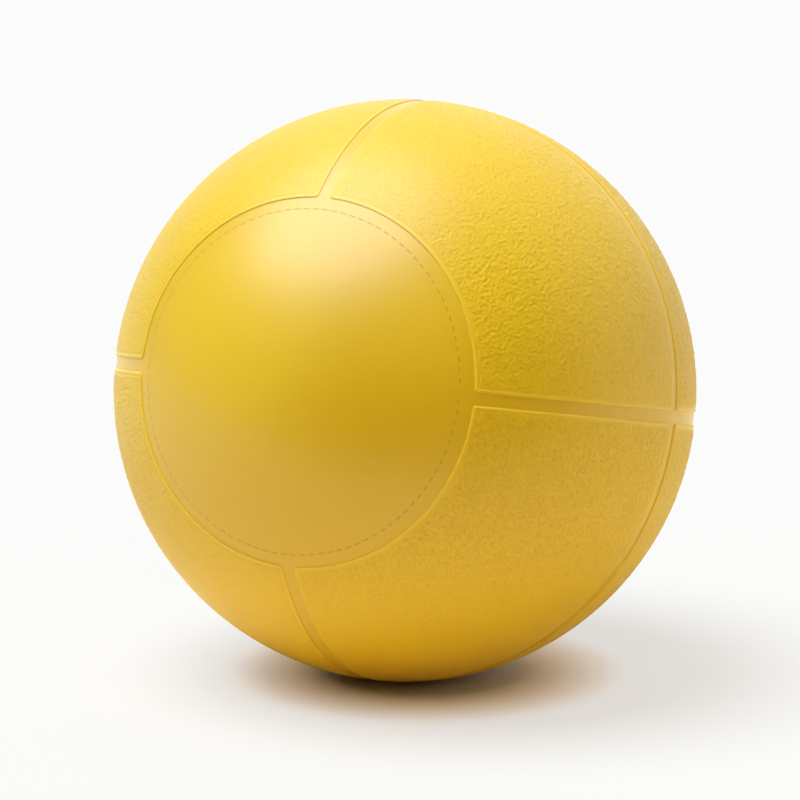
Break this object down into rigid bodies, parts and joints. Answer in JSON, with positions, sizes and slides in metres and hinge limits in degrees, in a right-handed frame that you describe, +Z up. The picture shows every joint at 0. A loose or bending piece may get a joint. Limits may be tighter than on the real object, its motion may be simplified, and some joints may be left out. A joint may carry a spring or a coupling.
{
  "type": "kickball",
  "caption": "Inflated rubber kickball with raised pebbled panels, smooth bands and discs, a thread-wound bladder and a needle valve.",
  "frame": {"origin": "on the floor under the ball's centre, in the middle of the flat patch on which the ball bears", "axes": "+Z up, -Y the way the front disc faces (its axis is tipped up 13 degrees from -Y), +X to the right of someone facing the front disc"},
  "size_m": [0.2532, 0.252, 0.2528],
  "materials": {
    "cover_rubber": "satin, moulded with a fine pebble grain",
    "carcass_rubber": "smooth satin",
    "butyl_rubber": "matte black",
    "nylon_thread": "wound thread set in latex",
    "valve_rubber": "matte dark grey"
  },
  "bodies": {
    "root": {"bladder": "butyl_rubber", "valve_patch": "butyl_rubber", "valve_seat": "butyl_rubber", "valve_plug": "valve_rubber", "thread_winding": "nylon_thread", "carcass_front": "carcass_rubber", "carcass_rear": "carcass_rubber", "panel_front_upper_left": "cover_rubber", "panel_front_upper_right": "cover_rubber", "panel_front_lower_left": "cover_rubber", "panel_front_lower_right": "cover_rubber", "panel_rear_upper_left": "cover_rubber", "panel_rear_upper_right": "cover_rubber", "panel_rear_lower_left": "cover_rubber", "panel_rear_lower_right": "cover_rubber"}
  },
  "joints": []
}
